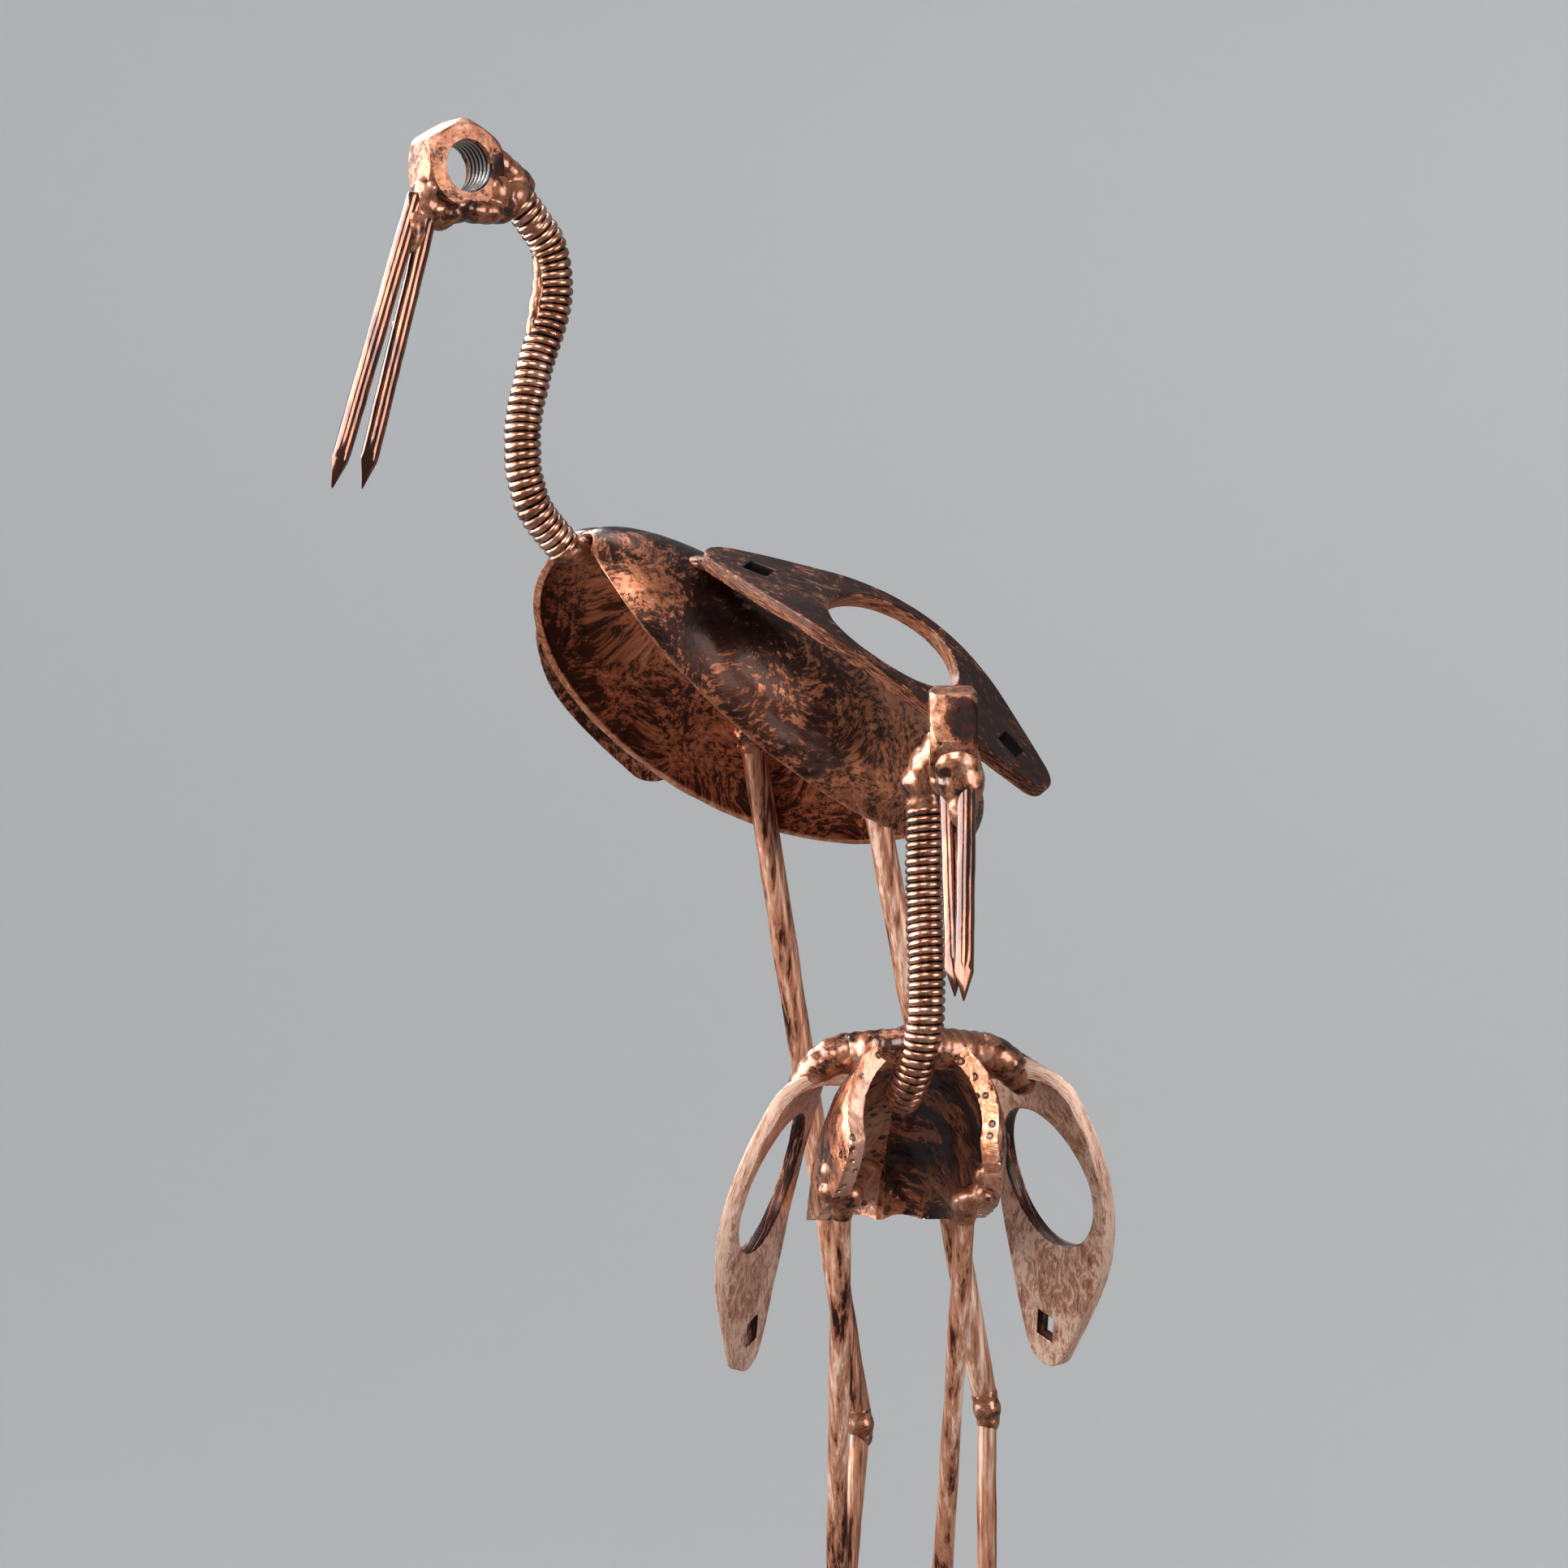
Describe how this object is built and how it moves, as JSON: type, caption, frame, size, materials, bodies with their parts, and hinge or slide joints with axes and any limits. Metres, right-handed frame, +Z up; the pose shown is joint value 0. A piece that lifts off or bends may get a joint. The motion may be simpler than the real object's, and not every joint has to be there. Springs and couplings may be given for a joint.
{
  "type": "welded metal crane pair garden statue on a low plate",
  "caption": "Two slender standing cranes welded from nuts, nails, springs, spoon-like shells, wing plates and rods, brushed antique copper over black, on a low steel plate.",
  "frame": {"origin": "middle of the stand plate's underside", "axes": "+Z up to the heads; -Y towards the viewer of the picture; +X to the right in the picture"},
  "size_m": [0.2904, 0.2793, 0.6618],
  "materials": {
    "brushed_copper_shell": "antique copper paint swirled over black, satin",
    "brushed_copper_rod": "antique copper paint dry-brushed along the rod over black, satin",
    "brushed_copper_wing": "antique copper paint streaked along the plate over charcoal, satin",
    "lacquered_copper": "glossy copper and dark red-brown lacquer on nuts, nails and springs",
    "weld_bead": "glossy lumpy weld metal under copper lacquer",
    "blackened_plate": "black paint with a light copper brush on the edges"
  },
  "bodies": {
    "root": {"stand_plate": "blackened_plate", "tall_crane_head_nut": "lacquered_copper", "tall_crane_neck_spring": "lacquered_copper", "tall_crane_upper_beak_nail": "lacquered_copper", "tall_crane_lower_beak_nail": "lacquered_copper", "tall_crane_crest_weld": "weld_bead", "tall_crane_beak_weld": "weld_bead", "tall_crane_neck_root_weld": "weld_bead", "tall_crane_left_body_shell": "brushed_copper_shell", "tall_crane_left_wing_plate": "brushed_copper_wing", "tall_crane_left_shoulder_weld": "weld_bead", "tall_crane_left_thigh": "brushed_copper_rod", "tall_crane_left_shank": "brushed_copper_rod", "tall_crane_left_knee_weld": "weld_bead", "tall_crane_left_hip_weld": "weld_bead", "tall_crane_left_foot": "brushed_copper_rod", "tall_crane_right_body_shell": "brushed_copper_shell", "tall_crane_right_wing_plate": "brushed_copper_wing", "tall_crane_right_shoulder_weld": "weld_bead", "tall_crane_right_thigh": "brushed_copper_rod", "tall_crane_right_shank": "brushed_copper_rod", "tall_crane_right_knee_weld": "weld_bead", "tall_crane_right_hip_weld": "weld_bead", "tall_crane_right_foot": "brushed_copper_rod", "small_crane_head_nut": "lacquered_copper", "small_crane_neck_spring": "lacquered_copper", "small_crane_upper_beak_nail": "lacquered_copper", "small_crane_lower_beak_nail": "lacquered_copper", "small_crane_crest_weld": "weld_bead", "small_crane_beak_weld": "weld_bead", "small_crane_neck_root_weld": "weld_bead", "small_crane_left_body_shell": "brushed_copper_shell", "small_crane_left_wing_plate": "brushed_copper_wing", "small_crane_left_shoulder_weld": "weld_bead", "small_crane_left_thigh": "brushed_copper_rod", "small_crane_left_shank": "brushed_copper_rod", "small_crane_left_knee_weld": "weld_bead", "small_crane_left_hip_weld": "weld_bead", "small_crane_left_foot": "brushed_copper_rod", "small_crane_right_body_shell": "brushed_copper_shell", "small_crane_right_wing_plate": "brushed_copper_wing", "small_crane_right_shoulder_weld": "weld_bead", "small_crane_right_thigh": "brushed_copper_rod", "small_crane_right_shank": "brushed_copper_rod", "small_crane_right_knee_weld": "weld_bead", "small_crane_right_hip_weld": "weld_bead", "small_crane_right_foot": "brushed_copper_rod"}
  },
  "joints": []
}
